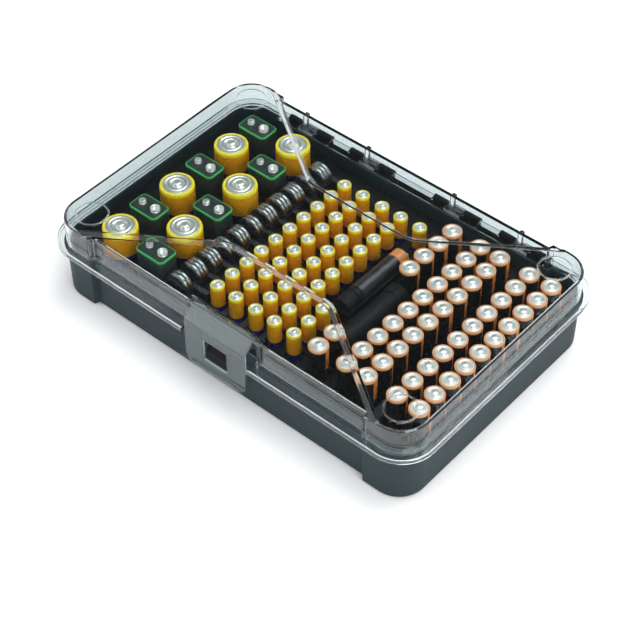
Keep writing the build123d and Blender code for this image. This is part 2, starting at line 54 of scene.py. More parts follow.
Place = tuple[float, float, float]


# ---- small tools --------------------------------------------------------------------------
def srgb(code: str) -> Rgba:
    """Turn an sRGB hex value into a linear colour.

    Args:
        code: Colour as "#RRGGBB".

    Returns:
        Linear red, green, blue and an alpha of one, by the sRGB standard's curve.
    """
    parts = [int(code[i:i + 2], 16) / 255 for i in (1, 3, 5)]
    linear = [p / 12.92 if p <= 0.04045 else ((p + 0.055) / 1.055) ** 2.4 for p in parts]
    return (linear[0], linear[1], linear[2], 1.0)


def add_node(tree: bpy.types.NodeTree, kind: str, settings: dict | None = None,
             inputs: dict | None = None) -> bpy.types.Node:
    """Add one node with its settings, fixed values and links.

    Args:
        tree: Tree that gets the node.
        kind: Node type name.
        settings: Attributes of the node.
        inputs: Values or output sockets for the node's inputs, by name or number.

    Returns:
        The new node.
    """
    node = tree.nodes.new(kind)
    for key, value in (settings or {}).items():
        setattr(node, key, value)
    for key, value in (inputs or {}).items():
        if isinstance(value, bpy.types.NodeSocket):
            tree.links.new(value, node.inputs[key])
        else:
            node.inputs[key].default_value = value
    return node


def new_material(name: str) -> tuple[bpy.types.Material, bpy.types.NodeTree, bpy.types.Node]:
    """Start a node material.

    Args:
        name: Name of the real finish.

    Returns:
        The material, its tree and its output node.
    """
    mat = bpy.data.materials.new(name)
    mat.use_nodes = True
    tree = mat.node_tree
    tree.nodes.clear()
    return mat, tree, add_node(tree, "ShaderNodeOutputMaterial")


def ramp(tree: bpy.types.NodeTree, value: bpy.types.NodeSocket,
         stops: list[tuple[float, Rgba]], sharp: bool = False) -> bpy.types.NodeSocket:
    """Colour ramp on a value.

    Args:
        tree: Tree that gets the ramp.
        value: Socket that drives it.
        stops: Positions and linear colours.
        sharp: True for bands with hard edges.

    Returns:
        The colour output.
    """
    node = add_node(tree, "ShaderNodeValToRGB", inputs={"Fac": value})
    bar = node.color_ramp
    bar.interpolation = "CONSTANT" if sharp else "LINEAR"
    while len(bar.elements) < len(stops):
        bar.elements.new(0.5)
    for element, (place, colour) in zip(bar.elements, sorted(stops, key=lambda s: s[0])):
        element.position = place
        element.color = colour
    return node.outputs["Color"]


def blend(tree: bpy.types.NodeTree, share: bpy.types.NodeSocket,
          first: Rgba | bpy.types.NodeSocket,
          second: Rgba | bpy.types.NodeSocket) -> bpy.types.NodeSocket:
    """Mix two colours.

    Args:
        tree: Tree that gets the node.
        share: Share of the second colour.
        first: Colour where the share is zero.
        second: Colour where the share is one.

    Returns:
        The mixed colour.
    """
    return add_node(tree, "ShaderNodeMix", {"data_type": "RGBA"}, {
        MIX_SHARE: share, MIX_FIRST: first, MIX_SECOND: second}).outputs[MIX_RESULT]


def noise(tree: bpy.types.NodeTree, coords: bpy.types.NodeSocket, size_mm: float,
          detail: float) -> bpy.types.NodeSocket:
    """Soft noise with spots of a real size.

    Args:
        tree: Tree that gets the node.
        coords: Object coordinates.
        size_mm: Size of the spots.
        detail: Finer layers on top of them.

    Returns:
        The noise, about a half.
    """
    return add_node(tree, "ShaderNodeTexNoise", inputs={
        "Vector": coords, "Scale": 1 / (size_mm * MM), "Detail": detail}).outputs["Fac"]


def vary(tree: bpy.types.NodeTree, value: bpy.types.NodeSocket, to: Point,
         source: Point = (0.3, 0.7)) -> bpy.types.NodeSocket:
    """Spread a value over another range.

    Args:
        tree: Tree that gets the node.
        value: Value to spread.
        to: Ends of the new range.
        source: Ends of the old range.

    Returns:
        The new value, held within its range.
    """
    return add_node(tree, "ShaderNodeMapRange", inputs={
        "Value": value, "From Min": source[0], "From Max": source[1],
        "To Min": to[0], "To Max": to[1]}).outputs["Result"]


def relief(tree: bpy.types.NodeTree, height: bpy.types.NodeSocket, strength: float,
           depth_mm: float) -> bpy.types.NodeSocket:
    """Fine relief of a surface.

    Args:
        tree: Tree that gets the node.
        height: Height pattern.
        strength: How much of it shows.
        depth_mm: Depth of the pattern.

    Returns:
        The bent normal.
    """
    return add_node(tree, "ShaderNodeBump", inputs={
        "Height": height, "Strength": strength, "Distance": depth_mm * MM}).outputs["Normal"]


def cover(tree: bpy.types.NodeTree, out: bpy.types.Node, inputs: dict) -> None:
    """Add the main shader with its inputs and link it to the surface."""
    shader = add_node(tree, "ShaderNodeBsdfPrincipled", inputs=inputs)
    tree.links.new(shader.outputs["BSDF"], out.inputs["Surface"])


def to_mesh(bm: bmesh.types.BMesh, name: str) -> bpy.types.Mesh:
    """Turn an edit mesh into a plain one and free it.

    Args:
        bm: Edit mesh.
        name: Name of the new mesh.

    Returns:
        The new mesh.
    """
    mesh = bpy.data.meshes.new(name)
    bm.to_mesh(mesh)
    bm.free()
    return mesh


def stand(name: str, data: bpy.types.ID) -> bpy.types.Object:
    """Put an object into the scene, at the origin.

    Args:
        name: Name of the object.
        data: Its mesh, camera or lamp.

    Returns:
        The object.
    """
    obj = bpy.data.objects.new(name, data)
    bpy.context.collection.objects.link(obj)
    return obj


# ---- finishes -----------------------------------------------------------------------------
@dataclass(frozen=True)
class MouldedAbs:
    """ABS from a spark-eroded mould: a fine even grain that breaks up the highlights."""

    name: str
    colour: str
    roughness: float = 0.42
    gloss: float = 0.5
    grain_mm: float = 0.9      # the real grain is about 0.1 mm, drawn coarser so that it shows
    grain_depth: float = 0.12
    relief_mm: float = 0.1
    flow_mm: float = 45.0      # slow drift of colour and gloss, left as the mould filled
    mottle: float = 0.06
    painted_top_sheen: str = ""            # painted highlight: a lighter colour painted on the upper faces, as where light falls on them
    painted_top_sheen_z_mm: float = 0.0
    ior: float = 1.53

    def build(self) -> bpy.types.Material:
        """Make the material.

        Returns:
            The material, its colour and gloss drifting slowly under an even grain, with a painted
            highlight on its upper faces where one is given.
        """
        mat, tree, out = new_material(self.name)
        coords = add_node(tree, "ShaderNodeTexCoord").outputs["Object"]
        grain = noise(tree, coords, self.grain_mm, 2.0)
        flow = noise(tree, coords, self.flow_mm, 3.0)
        base = srgb(self.colour)
        low = tuple(c * (1 - self.mottle) for c in base[:3]) + (1.0,)
        high = tuple(min(1.0, c * (1 + self.mottle)) for c in base[:3]) + (1.0,)
        colour = ramp(tree, flow, [(0.35, low), (0.65, high)])
        if self.painted_top_sheen:
            # painted highlight: faces above the given height take a lighter colour that stands in
            # for light on the tops
            axes = add_node(tree, "ShaderNodeSeparateXYZ", inputs={"Vector": coords})
            painted_sheen_mask = add_node(tree, "ShaderNodeMath", {"operation": "GREATER_THAN"}, {
                0: axes.outputs["Z"], 1: self.painted_top_sheen_z_mm * MM})
            colour = blend(tree, painted_sheen_mask.outputs[0], colour, srgb(self.painted_top_sheen))
        cover(tree, out, {
            "Base Color": colour,
            "Roughness": vary(tree, flow, (self.roughness - 0.04, self.roughness + 0.05)),
            "Normal": relief(tree, grain, self.grain_depth, self.relief_mm),
            "IOR": self.ior, "Specular IOR Level": self.gloss})
        return mat


@dataclass(frozen=True)
class ClearPolycarbonate:
    """Injection-moulded polycarbonate with a light smoke tint, glossy on both faces."""

    name: str
    tint: str
    shade: str                 # tint of the light that falls through it
    roughness: float = 0.03
    haze: float = 0.0          # share of the surface that scatters instead of letting through
    wave_mm: float = 30.0      # faint waves of a thin moulding, seen in its reflections
    wave_depth: float = 0.02
    relief_mm: float = 0.1
    ior: float = 1.585

    def build(self) -> bpy.types.Material:
        """Make the material; lamps shine through it, as through the thin real wall.

        Returns:
            The material.
        """
        mat, tree, out = new_material(self.name)
        coords = add_node(tree, "ShaderNodeTexCoord").outputs["Object"]
        wave = noise(tree, coords, self.wave_mm, 1.0)
        shader = add_node(tree, "ShaderNodeBsdfPrincipled", inputs={
            "Base Color": srgb(self.tint), "Roughness": self.roughness, "IOR": self.ior,
            "Transmission Weight": 1.0 - self.haze,
            "Normal": relief(tree, wave, self.wave_depth, self.relief_mm)})
        clear = add_node(tree, "ShaderNodeBsdfTransparent", inputs={"Color": srgb(self.shade)})
        path = add_node(tree, "ShaderNodeLightPath")
        mix = add_node(tree, "ShaderNodeMixShader", inputs={
            0: path.outputs["Is Shadow Ray"], 1: shader.outputs["BSDF"],
            2: clear.outputs["BSDF"]})
        tree.links.new(mix.outputs["Shader"], out.inputs["Surface"])
        return mat


class Print(Enum):
    """How the film round a cell is printed."""

    FOOT_BAND = "foot band"
    # copper top band printed all round, but painted copper only on the side turned to the light
    # and black round the rest, as painted shade
    LIT_SIDE_BAND = "copper band on its lit side"


@dataclass(frozen=True)
class PrintedFilm:
    """Shrunk PVC film round a steel can: smooth, glossy, with plain printed fields.

    Places on the film are shares of the way round it or of its height.
    """

    name: str
    body: str
    accent: str
    rim: str
    layout: Print
    rim_from: float = 0.965    # the rolled rim starts here
    foot_top: float = 0.6      # upper edge of a foot band
    # where the copper shows, round and up the film: only on the lit side; the shaded rest of the
    # band is painted in the body colour
    lit_side_around: Point = (0.41, 0.59)
    lit_side_upright: Point = (0.62, 0.96)
    roughness: float = 0.28
    scuff_mm: float = 4.0
    ior: float = 1.53

    def banded(self, tree: bpy.types.NodeTree,
               height: bpy.types.NodeSocket) -> bpy.types.NodeSocket:
        """Colour of a film with a foot band.

        Args:
            tree: Tree that gets the nodes.
            height: Place up the film.

        Returns:
            The colour.
        """
        return ramp(tree, height, [(0.0, srgb(self.accent)), (self.foot_top, srgb(self.body)),
                                   (self.rim_from, srgb(self.rim))], sharp=True)

    def lit_side_banded(self, tree: bpy.types.NodeTree, round_it: bpy.types.NodeSocket,
                 height: bpy.types.NodeSocket) -> bpy.types.NodeSocket:
        """Colour of a film whose copper top band shows only on one side, turned to the light; the
        rest of the band is painted in the body colour, as painted shade.
        """
        body, black, white = srgb(self.body), srgb("#000000"), srgb("#FFFFFF")
        # copper only on the lit side; the rest of the band is painted in the body colour as shade
        around = ramp(tree, round_it, [
            (0.0, body), (self.lit_side_around[0], srgb(self.accent)),
            (self.lit_side_around[1], body)], sharp=True)
        upper = ramp(tree, height, [
            (0.0, black), (self.lit_side_upright[0], white), (self.lit_side_upright[1], black)],
            sharp=True)
        edge = ramp(tree, height, [(0.0, black), (self.rim_from, white)], sharp=True)
        return blend(tree, edge, blend(tree, upper, body, around), srgb(self.rim))

    def build(self) -> bpy.types.Material:
        """Make the material; it reads the jacket's own map, turned round each cell.

        Returns:
            The material.
        """
        mat, tree, out = new_material(self.name)
        uv = add_node(tree, "ShaderNodeUVMap", {"uv_map": "around"}).outputs["UV"]
        axes = add_node(tree, "ShaderNodeSeparateXYZ", inputs={"Vector": uv}).outputs
        colour = (self.banded(tree, axes["Y"]) if self.layout is Print.FOOT_BAND
                  else self.lit_side_banded(tree, axes["X"], axes["Y"]))
        coords = add_node(tree, "ShaderNodeTexCoord").outputs["Object"]
        scuff = noise(tree, coords, self.scuff_mm, 3.0)
        cover(tree, out, {
            "Base Color": colour, "IOR": self.ior, "Coat Weight": 0.25, "Coat Roughness": 0.12,
            "Roughness": vary(tree, scuff, (self.roughness - 0.06, self.roughness + 0.1),
                              (0.35, 0.7))})
        return mat


@dataclass(frozen=True)
class PlatedSteel:
    """Bright steel with fine marks of drawing and turning."""

    name: str
    colour: str = "#F0EEE8"
    roughness: float = 0.32
    marks_mm: float = 0.35

    def build(self) -> bpy.types.Material:
        """Make the material.

        Returns:
            The material, duller and brighter by turns along its marks.
        """
        mat, tree, out = new_material(self.name)
        coords = add_node(tree, "ShaderNodeTexCoord").outputs["Object"]
        marks = noise(tree, coords, self.marks_mm, 3.0)
        cover(tree, out, {
            "Base Color": srgb(self.colour), "Metallic": 1.0,
            "Roughness": vary(tree, marks, (self.roughness - 0.08, self.roughness + 0.1))})
        return mat


@dataclass(frozen=True)
class LyingCellFilm:
    """Black film with a copper-coloured end, banded along the lying test cell."""

    name: str = "black film with copper end"
    body: str = "#161618"
    end: str = "#E08B46"
    end_y_mm: float = 32.5
    roughness: Point = (0.22, 0.4)
    cloud_mm: float = 2.857
    ripple_mm: float = 2.0
    ripple_depth: float = 0.3
    relief_mm: float = 0.03
    ior: float = 1.53

    def build(self) -> bpy.types.Material:
        """Make the material; the band follows the cell's own length, along Y.

        Returns:
            The material.
        """
        mat, tree, out = new_material(self.name)
        coords = add_node(tree, "ShaderNodeTexCoord").outputs["Object"]
        axes = add_node(tree, "ShaderNodeSeparateXYZ", inputs={"Vector": coords})
        past = add_node(tree, "ShaderNodeMath", {"operation": "GREATER_THAN"}, {
            0: axes.outputs["Y"], 1: self.end_y_mm * MM})
        colour = ramp(tree, past.outputs[0], [(0.0, srgb(self.body)), (0.5, srgb(self.end))],
                      sharp=True)
        cloud = noise(tree, coords, self.cloud_mm, 3.0)
        ripple = noise(tree, coords, self.ripple_mm, 2.0)
        cover(tree, out, {
            "Base Color": colour, "Roughness": vary(tree, cloud, self.roughness, (0.0, 1.0)),
            "Normal": relief(tree, ripple, self.ripple_depth, self.relief_mm),
            "IOR": self.ior, "Coat Weight": 0.2})
        return mat


def made(finish: MouldedAbs | ClearPolycarbonate | PrintedFilm | PlatedSteel | LyingCellFilm
         ) -> bpy.types.Material:
    """Field of Finishes whose material is made with the object."""
    return field(default_factory=finish.build)


@dataclass
class Finishes:
    """Every material of the case, made once."""

    # satin walls: broad soft highlights on the tub
    slate: bpy.types.Material = made(MouldedAbs(
        "slate moulded ABS", "#26363A", 0.48, gloss=0.32))
    # dull black, so that the pockets read as deep and only their edges show
    black: bpy.types.Material = made(MouldedAbs(
        "black moulded ABS", "#08090B", 0.5, gloss=0.2, grain_depth=0.1, mottle=0.12))
    # the same, with a painted highlight: the tops of the strips between the columns are painted
    # lighter, as where light falls on them
    tray: bpy.types.Material = made(MouldedAbs(
        "black moulded ABS with painted sheen on rib tops", "#08090B", 0.5, gloss=0.2, grain_depth=0.1,
        mottle=0.12, painted_top_sheen="#2B2D31", painted_top_sheen_z_mm=36.3))
    # slightly shinier grey, so that the rack's ribs part from the tray
    rib_grey: bpy.types.Material = made(MouldedAbs(
        "dark grey moulded ABS", "#2C2E33", 0.4, gloss=0.4))
    # polished: sharp reflections, and a faint smoke where it is seen edge on
    lid: bpy.types.Material = made(ClearPolycarbonate(
        "smoke clear polycarbonate", "#EDF4F5", "#DCE4E6"))
    # darker and a little milky, so that the latch stands out from the lid
    latch: bpy.types.Material = made(ClearPolycarbonate(
        "hazed clear polycarbonate", "#A3B3B6", "#B4C0C3", 0.05, 0.1))
    # glossy film: a bright upright streak down each cell; the copper top band is painted only on
    # the side turned to the light, and black round the rest as painted shade
    aa_film: bpy.types.Material = made(PrintedFilm(
        "black printed PVC film", "#0D0D0D", "#EE8A3E", "#F0A875", Print.LIT_SIDE_BAND))
    yellow_film: bpy.types.Material = made(PrintedFilm(
        "yellow printed PVC film", "#EA9A00", "#14126E", "#FFE21E", Print.FOOT_BAND,
        rim_from=0.955))
    # baked lacquer: smoother than the mouldings, with crisp highlights
    nine_film: bpy.types.Material = made(MouldedAbs(
        "dark lacquered steel jacket", "#2B3230", 0.3, grain_depth=0.02))
    nine_edge: bpy.types.Material = made(MouldedAbs(
        "green lacquered edging", "#35B85A", 0.3, grain_depth=0.02))
    # warm bright metal that mirrors the lamps in blurred patches
    nickel: bpy.types.Material = made(PlatedSteel("nickel-plated steel"))
    # greyer and sharper, with light caught on the cans' rims
    coin: bpy.types.Material = made(PlatedSteel(
        "brushed stainless coin can", "#A4A6A6", 0.24, 0.5))
    # dull grey rods
    wire: bpy.types.Material = made(PlatedSteel("drawn steel wire", "#8F9294", 0.35))
    # glossy black and copper with slight ripples over the can
    lying_film: bpy.types.Material = made(LyingCellFilm())


# ---- meshes -------------------------------------------------------------------------------
def lathe(name: str, profile: list[Point], sides: int,
          smooth_deg: float = 24.0) -> bpy.types.Mesh:
    """Closed turned mesh about Z with a map that runs round it and up it.

    Args:
        name: Mesh name.
        profile: Radius and height in millimetres from the foot to the top, both ends on the
            axis or closed by a flat face.
        sides: Number of flats.
        smooth_deg: Edges sharper than this stay crisp.

    Returns:
        The mesh, in metres, its map named "around".
    """
    bm = bmesh.new()
    uv = bm.loops.layers.uv.new("around")
    low, high = profile[0][1], profile[-1][1]
    rings = [[bm.verts.new((r * MM * math.cos(2 * math.pi * i / sides),
                            r * MM * math.sin(2 * math.pi * i / sides), z * MM))
              for i in range(sides)] for r, z in profile]
    span = max(high - low, 1e-6)
    for (r0, z0), (r1, z1), lower, upper in zip(profile, profile[1:], rings, rings[1:]):
        for i in range(sides):
            j = (i + 1) % sides
            face = bm.faces.new((lower[i], lower[j], upper[j], upper[i]))
            corners = ((i, z0), (i + 1, z0), (i + 1, z1), (i, z1))
            for loop, (step, z) in zip(face.loops, corners):
                loop[uv].uv = (step / sides, (z - low) / span)
    for ring, z, flip in ((rings[0], low, True), (rings[-1], high, False)):
        face = bm.faces.new(list(reversed(ring)) if flip else ring)
        for loop in face.loops:
            loop[uv].uv = (0.5, (z - low) / span)
    for edge in bm.edges:
        edge.smooth = edge.calc_face_angle(0.0) < math.radians(smooth_deg)
    for face in bm.faces:
        face.smooth = True
    return to_mesh(bm, name)


def round_outline(size_x: float, size_y: float, corner: float, inset: float,
                  steps: int) -> list[Point]:
    """Outline of a rectangle with round corners.

    Args:
        size_x: Width before the inset.
        size_y: Depth before the inset.
        corner: Corner radius before the inset.
        inset: How far the outline is drawn in.
        steps: Flats of each corner.

    Returns:
        The outline's points, round about Z.
    """
    points = []
    radius = max(corner - inset, TIP_MM)
    for sx, sy, start in ((1, 1, 0), (-1, 1, 90), (-1, -1, 180), (1, -1, 270)):
        cx, cy = sx * (size_x / 2 - corner), sy * (size_y / 2 - corner)
        for k in range(steps + 1):
            a = math.radians(start + 90 / steps * k)
            points.append((cx + radius * math.cos(a), cy + radius * math.sin(a)))
    return points


def add_rings(bm: bmesh.types.BMesh, levels: list[tuple[list[Point], float]],
              closed: bool) -> list[list[bmesh.types.BMVert]]:
    """Stack outlines and join each to the next with smooth faces.

    Args:
        bm: Edit mesh that gets them.
        levels: Outlines and heights, in millimetres.
        closed: True if the last outline is joined to the first.

    Returns:
        The outlines' corners.
    """
    rings = [[bm.verts.new((x * MM, y * MM, z * MM)) for x, y in outline]
             for outline, z in levels]
    count = len(rings[0])
    for lower, upper in zip(rings, rings[1:] + rings[:1] if closed else rings[1:]):
        for i in range(count):
            j = (i + 1) % count
            bm.faces.new((lower[i], lower[j], upper[j], upper[i])).smooth = True
    return rings


def rounded_bar(name: str, size: Place, corner: float, edge: float) -> bpy.types.Mesh:
    """Upright bar with round corners and softened rims, its foot at zero.

    Args:
        name: Mesh name.
        size: Width, depth and height in millimetres.
        corner: Corner radius.
        edge: Rim radius.

    Returns:
        The mesh, in metres.
    """
    sx, sy, high = size
    levels = [(edge, 0.0), (0.0, edge), (0.0, high - edge),
              (edge * 0.3, high - edge * 0.3), (edge, high)]
    bm = bmesh.new()
    rings = add_rings(bm, [(round_outline(sx, sy, corner, inset, 6), z)
                           for inset, z in levels], closed=False)
    bm.faces.new(list(reversed(rings[0])))
    bm.faces.new(rings[-1])
    return to_mesh(bm, name)


def cell_row_tree() -> bpy.types.GeometryNodeTree:
    """Geometry Nodes tree that stands copies of one cell in a straight row.

    Returns:
        The tree, with named inputs for the cell, the row, the turns and the finish.
    """
    tree = bpy.data.node_groups.new("cell row", "GeometryNodeTree")
    face = tree.interface
    for name, kind in (("Cell", "NodeSocketObject"), ("Start", "NodeSocketVector"),
                       ("Rows", "NodeSocketInt"), ("Step", "NodeSocketVector"),
                       ("Turn", "NodeSocketFloat"), ("Spread", "NodeSocketFloat"),
                       ("Seed", "NodeSocketInt"), ("Finish", "NodeSocketMaterial")):
        face.new_socket(name, in_out="INPUT", socket_type=kind)
    face.new_socket("Geometry", in_out="OUTPUT", socket_type="NodeSocketGeometry")
    given = add_node(tree, "NodeGroupInput").outputs
    line = add_node(tree, "GeometryNodeMeshLine", {"mode": "OFFSET"}, {
        "Count": given["Rows"], "Start Location": given["Start"], "Offset": given["Step"]})
    cell = add_node(tree, "GeometryNodeObjectInfo", inputs={"Object": given["Cell"]})
    low = add_node(tree, "ShaderNodeMath", {"operation": "SUBTRACT"}, {
        0: given["Turn"], 1: given["Spread"]})
    high = add_node(tree, "ShaderNodeMath", {"operation": "ADD"}, {
        0: given["Turn"], 1: given["Spread"]})
    turn = add_node(tree, "FunctionNodeRandomValue", {"data_type": "FLOAT"}, {
        2: low.outputs[0], 3: high.outputs[0], "Seed": given["Seed"]})
    about_z = add_node(tree, "ShaderNodeCombineXYZ", inputs={"Z": turn.outputs[1]})
    stood = add_node(tree, "GeometryNodeInstanceOnPoints", inputs={
        "Points": line.outputs["Mesh"], "Instance": cell.outputs["Geometry"],
        "Rotation": about_z.outputs["Vector"]})
    real = add_node(tree, "GeometryNodeRealizeInstances", inputs={
        "Geometry": stood.outputs["Instances"]})
    done = add_node(tree, "GeometryNodeSetMaterial", inputs={
        "Geometry": real.outputs["Geometry"], "Material": given["Finish"]})
    add_node(tree, "NodeGroupOutput", inputs={"Geometry": done.outputs["Geometry"]})
    return tree


@dataclass(frozen=True)
class Row:
    """A straight row of like cells, in millimetres."""

    start: Place
    count: int
    step: Place


@dataclass
class RowLayer:
    """Runs the row tree and joins what it makes into one plain piece."""

    tree: bpy.types.GeometryNodeTree

    def lay(self, bm: bmesh.types.BMesh, name: str, values: dict) -> None:
        """Run the tree once and add what it makes to an edit mesh.

        Args:
            bm: Edit mesh that gathers the rows.
            name: Name of the object that carries the tree meanwhile.
            values: The tree's inputs, by name.
        """
        host = stand(name, bpy.data.meshes.new(name))
        modifier = host.modifiers.new("cell row", "NODES")
        modifier.node_group = self.tree
        for item in self.tree.interface.items_tree:
            if item.item_type == "SOCKET" and item.in_out == "INPUT":
                modifier[item.identifier] = values[item.name]
        host.update_tag()
        graph = bpy.context.evaluated_depsgraph_get()
        graph.update()
        part = bpy.data.meshes.new_from_object(host.evaluated_get(graph))
        bm.from_mesh(part)
        host.modifiers.remove(modifier)
        bpy.data.objects.remove(host)
        bpy.data.meshes.remove(part)

    def piece(self, name: str, shape: bpy.types.Mesh, rows: list[Row],
              finish: bpy.types.Material, turn: float = 0.0, spread: float = 0.0,
              seed: int = 1) -> bpy.types.Object:
        """Lay rows of one shape.

        Args:
            name: Name of the piece.
            shape: Mesh of one cell, standing at the origin.
            rows: Rows to lay.
            finish: Material of the copies.
            turn: Mean turn about the upright axis, in radians.
            spread: How far the turns vary either way.
            seed: Seed of the turns.

        Returns:
            The piece, a plain mesh at the origin.
        """
        source = stand(name + "_source", shape)
        bm = bmesh.new()
        for number, row in enumerate(rows):
            self.lay(bm, name + "_host", {
                "Cell": source, "Start": [v * MM for v in row.start], "Rows": row.count,
                "Step": [v * MM for v in row.step], "Turn": turn, "Spread": spread,
                "Seed": seed + number, "Finish": finish})
        mesh = to_mesh(bm, name)
        bpy.data.objects.remove(source)
        mesh.materials.clear()
        mesh.materials.append(finish)
        return stand(name, mesh)


def dress(node: str, material: bpy.types.Material) -> None:
    """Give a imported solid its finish.

    Args:
        node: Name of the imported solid.
        material: Its finish.
    """
    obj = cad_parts[node]
    if not obj.material_slots:
        obj.data.materials.append(material)
    for entry in obj.material_slots:
        entry.link = "OBJECT"
        entry.material = material


def settle(piece: bpy.types.Object, body: str, slot: str, *nodes: str) -> None:
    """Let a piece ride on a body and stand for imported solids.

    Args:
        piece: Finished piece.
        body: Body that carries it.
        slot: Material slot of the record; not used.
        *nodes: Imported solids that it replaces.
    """
    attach(piece, body)
    if nodes:
        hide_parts(*nodes)
    LOG.info("%s rides on %s and stands for %s", piece.name, body, nodes or "itself")


# ---- sub-assemblies -----------------------------------------------------------------------
@dataclass
class RoundCells:
    """Upright round cells of one size: film jackets and stepped steel caps."""

    prefix: str
    nodes: tuple[tuple[str, str], ...]         # packed jackets and terminals of each column
    columns: tuple[tuple[Row, ...], ...]
    diameter: float
    length: float
    nub_d: float
    nub_h: float
    slot: str
    turn_deg: float = 0.0
    sides: int = 32
    roll_share: float = 0.035                  # rolled rim, as a share of the diameter
    rim_share: float = 0.085                   # flat rim of the film
    cap_share: float = 0.09                    # how far in from the side the cap stands
    jacket_spread: float = 0.25                # radians that the prints turn either way
    cap_spread: float = 0.6

    def jacket_mesh(self) -> bpy.types.Mesh:
        """Film jacket with a softened foot and a rim rolled over the top.

        Returns:
            The mesh of one jacket.
        """
        r, top = self.diameter / 2, self.length - self.nub_h
        roll = self.diameter * self.roll_share
        inner = r - self.diameter * self.rim_share
        return lathe(self.prefix + "_jacket", [
            (r - 0.5, 0.0), (r, 0.5), (r, top - roll * 1.6), (r - roll * 0.3, top - roll * 0.5),
            (r - roll, top), (inner, top), (inner, top - roll * 1.2), (TIP_MM, top - roll * 1.2)],
            self.sides)

    def cap_mesh(self) -> bpy.types.Mesh:
        """Pressed cap: a bright washer with a dark groove, and a raised positive nub.

        Returns:
            The mesh of one cap.
        """
        r = self.diameter / 2 - self.diameter * self.cap_share
        top, nub = self.length - self.nub_h, self.nub_d / 2
        floor = top - self.diameter * self.roll_share * 1.15
        groove, moat = 0.1 * self.nub_h + 0.06, 0.35 * self.nub_h
        return lathe(self.prefix + "_cap", [
            (r, floor), (r, top - 0.1), (r - 0.2, top), (r * 0.80, top),
            (r * 0.78, top - groove), (r * 0.74, top - groove), (r * 0.72, top),
            (nub * 1.42, top), (nub * 1.34, top - moat), (nub * 1.0, top - moat),
            (nub * 0.97, self.length - 0.25), (nub * 0.88, self.length), (TIP_MM, self.length)],
            self.sides)

    def build(self, layer: RowLayer, film: bpy.types.Material,
              metal: bpy.types.Material) -> None:
        """Stand the jackets and caps, one piece of each for every column.

        Args:
            layer: Lays the rows.
            film: Finish of the jackets.
            metal: Finish of the caps.
        """
        jacket, cap = self.jacket_mesh(), self.cap_mesh()
        for number, (pair, rows) in enumerate(zip(self.nodes, self.columns), start=1):
            body = layer.piece(f"{self.prefix}_jackets_{number}", jacket, list(rows), film,
                               math.radians(self.turn_deg), self.jacket_spread, 10 * number)
            settle(body, "case", self.slot, pair[0])
            caps = layer.piece(f"{self.prefix}_caps_{number}", cap, list(rows), metal,
                               0.0, self.cap_spread, 10 * number + 5)
            settle(caps, "case", "bright_terminal", pair[1])


@dataclass
class SnapCells:
    """Upright nine-volt cells: lacquered can, green edging and two snap terminals."""

    rows: tuple[Row, ...]
    size: Place = (26.5, 17.5, 46.4)
    pitch: float = 12.7                        # from one snap to the other
    corner: float = 3.4
    edging_out: float = 0.2                    # the edging's corners are this much rounder
    can_inset: float = 0.5
    # half profiles of the snaps: radius, and height over the can
    round_profile: tuple[Point, ...] = (
        (2.75, -0.2), (2.75, 0.3), (2.2, 0.5), (2.1, 1.6), (2.7, 2.0), (2.6, 2.4), (2.0, 2.6),
        (TIP_MM, 2.6))
    socket_profile: tuple[Point, ...] = (
        (3.7, -0.2), (3.7, 0.3), (3.1, 0.5), (3.0, 1.2), (3.8, 2.3), (3.6, 2.6), (3.1, 2.5),
        (2.5, 1.4), (2.3, 0.6), (TIP_MM, 0.5))
    # profile of the edging: how far in from the side, and depth under the can's top
    edging_profile: tuple[Point, ...] = (
        (0.25, 1.9), (0.02, 1.7), (0.02, 0.4), (0.35, 0.02), (0.8, 0.02), (0.8, 0.35),
        (0.45, 1.9))

    def offset_rows(self, dx: float) -> list[Row]:
        """Rows moved sideways by dx millimetres."""
        return [Row((r.start[0] + dx, r.start[1], r.start[2]), r.count, r.step)
                for r in self.rows]

    def snap_mesh(self, name: str, profile: tuple[Point, ...], sides: int) -> bpy.types.Mesh:
        """Turned snap that stands on the can."""
        return lathe(name, [(r, self.size[2] + z) for r, z in profile], sides)

    def edging_mesh(self) -> bpy.types.Mesh:
        """Green band folded over the top edge of the can, as a closed ring.

        Returns:
            The mesh of one band.
        """
        sx, sy, high = self.size
        bm = bmesh.new()
        add_rings(bm, [(round_outline(sx, sy, self.corner + self.edging_out, inset, 5),
                        high - down) for inset, down in self.edging_profile], closed=True)
        bmesh.ops.recalc_face_normals(bm, faces=bm.faces)
        return to_mesh(bm, "nine_volt_edging_ring")

    def build(self, layer: RowLayer, looks: Finishes) -> None:
        """Make the cans, their edging and both kinds of snap.

        Args:
            layer: Lays the rows.
            looks: Finishes of the case.
        """
        sx, sy, high = self.size
        can = rounded_bar("nine_volt_can", (sx - self.can_inset, sy - self.can_inset,
                                            high - 0.15), self.corner, 0.5)
        settle(layer.piece("nine_volt_cans", can, list(self.rows), looks.nine_film),
               "case", "nine_volt_jacket", "nine_volt_cells")
        settle(layer.piece("nine_volt_edging", self.edging_mesh(), list(self.rows),
                           looks.nine_edge), "case", "nine_volt_jacket")
        ball = self.snap_mesh("round_snap", self.round_profile, 24)
        settle(layer.piece("nine_volt_round_terminals", ball, self.offset_rows(-self.pitch / 2),
                           looks.nickel), "case", "bright_terminal", "nine_volt_round_snaps")
        cup = self.snap_mesh("socket_snap", self.socket_profile, 18)
        settle(layer.piece("nine_volt_socket_terminals", cup, self.offset_rows(self.pitch / 2),
                           looks.nickel), "case", "bright_terminal", "nine_volt_socket_snaps")


